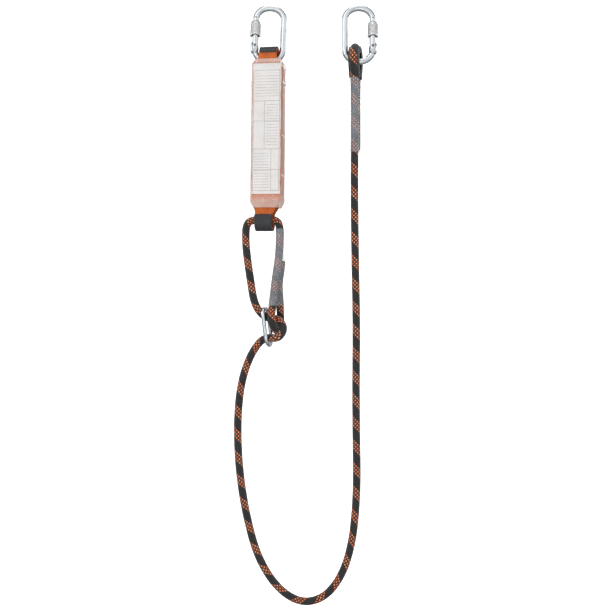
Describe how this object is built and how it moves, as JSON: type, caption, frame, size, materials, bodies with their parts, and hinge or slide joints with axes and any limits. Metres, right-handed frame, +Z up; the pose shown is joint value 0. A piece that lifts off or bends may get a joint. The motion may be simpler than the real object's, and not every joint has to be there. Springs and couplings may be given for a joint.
{
  "type": "shock absorbing lanyard",
  "caption": "Energy absorbing safety lanyard: screw-gate connectors, webbing tear absorber in a clear cover, braided rope with an adjuster ring.",
  "frame": {"origin": "inside bearing point at the top of the absorber-side connector", "axes": "+Z up along the hung lanyard, +X from the absorber to the free rope, +Y away from the viewer"},
  "size_m": [0.2237, 0.0442, 0.9307],
  "materials": {
    "steel_bar": "bright zinc plated",
    "steel_gate": "bright zinc plated",
    "steel_sleeve": "knurled, zinc plated",
    "steel_pin": "satin",
    "spring_steel": "satin",
    "stop_ring": "satin",
    "steel_ring": "bright zinc plated",
    "tear_webbing": "woven",
    "eye_webbing": "woven",
    "guard": "matte",
    "shrink_film": "clear, glossy",
    "label": "satin paper",
    "rope": "braided, with orange tracers",
    "rope_end": "melted",
    "clear_sleeve": "clear, glossy",
    "thimble": "moulded"
  },
  "bodies": {
    "left_carabiner": {"left_carabiner_body": "steel_bar", "left_nose_pin": "steel_pin", "left_hinge_rivet": "steel_pin"},
    "left_gate": {"left_gate": "steel_gate", "left_gate_spring": "spring_steel", "left_spring_plunger": "steel_pin"},
    "left_sleeve_guide": {"left_sleeve_stop_ring": "stop_ring"},
    "left_sleeve": {"left_screw_sleeve": "steel_sleeve"},
    "right_carabiner": {"right_carabiner_body": "steel_bar", "right_nose_pin": "steel_pin", "right_hinge_rivet": "steel_pin"},
    "right_gate": {"right_gate": "steel_gate", "right_gate_spring": "spring_steel", "right_spring_plunger": "steel_pin"},
    "right_sleeve_guide": {"right_sleeve_stop_ring": "stop_ring"},
    "right_sleeve": {"right_screw_sleeve": "steel_sleeve"},
    "lanyard_line": {"tear_webbing_pack": "tear_webbing", "upper_eye_webbing": "eye_webbing", "upper_eye_guard": "guard", "lower_eye_webbing": "eye_webbing", "lower_eye_guard": "guard", "shrink_cover": "shrink_film", "ruled_label": "label", "main_rope": "rope", "adjuster_eye_rope": "rope", "far_eye_rope": "rope", "far_rope_end": "rope_end", "adjuster_rope_end": "rope_end", "far_splice_sleeve": "clear_sleeve", "adjuster_splice_sleeve": "clear_sleeve", "adjuster_sleeve_neck": "clear_sleeve", "far_thimble": "thimble", "adjuster_ring": "steel_ring"}
  },
  "joints": [
    {"name": "left_gate_hinge", "type": "hinge", "parent": "left_carabiner", "child": "left_gate", "pos_m": [-0.02408, 0, -0.053], "axis": [0, 1, 0], "range_deg": [0, 26], "stiffness_Nm_per_rad": 0.25, "springref_deg": -22.92},
    {"name": "left_sleeve_travel", "type": "slide", "parent": "left_gate", "child": "left_sleeve_guide", "axis": [-0.0436, 0, -0.999], "range_m": [-0.0085, 0]},
    {"name": "left_sleeve_turn", "type": "hinge", "parent": "left_sleeve_guide", "child": "left_sleeve", "pos_m": [-0.02299, 0, -0.02802], "axis": [0.0436, 0, 0.999], "range_deg": [-1021, 0]},
    {"name": "right_gate_hinge", "type": "hinge", "parent": "right_carabiner", "child": "right_gate", "pos_m": [0.15855, 0, -0.054], "axis": [0, -1, 0], "range_deg": [0, 26], "stiffness_Nm_per_rad": 0.25, "springref_deg": -22.92},
    {"name": "right_sleeve_travel", "type": "slide", "parent": "right_gate", "child": "right_sleeve_guide", "axis": [0, 0, -1], "range_m": [-0.0085, 0]},
    {"name": "right_sleeve_turn", "type": "hinge", "parent": "right_sleeve_guide", "child": "right_sleeve", "pos_m": [0.15855, 0, -0.029], "axis": [0, 0, 1], "range_deg": [-1021, 0]},
    {"name": "absorber_swing", "type": "hinge", "parent": "left_carabiner", "child": "lanyard_line", "pos_m": [-0.00341, 0, -0.0781], "axis": [1, 0, 0], "range_deg": [-12, 12]},
    {"name": "far_carabiner_swing", "type": "hinge", "parent": "lanyard_line", "child": "right_carabiner", "pos_m": [0.1319, 0, -0.0781], "axis": [1, 0, 0], "range_deg": [-12, 12]}
  ],
  "couplings": [
    {"joint": "left_sleeve_turn", "follows": "left_sleeve_travel", "rad_per_m": 2094.4},
    {"joint": "right_sleeve_turn", "follows": "right_sleeve_travel", "rad_per_m": 2094.4},
    {"joint": "far_carabiner_swing", "follows": "absorber_swing", "ratio": -1}
  ]
}
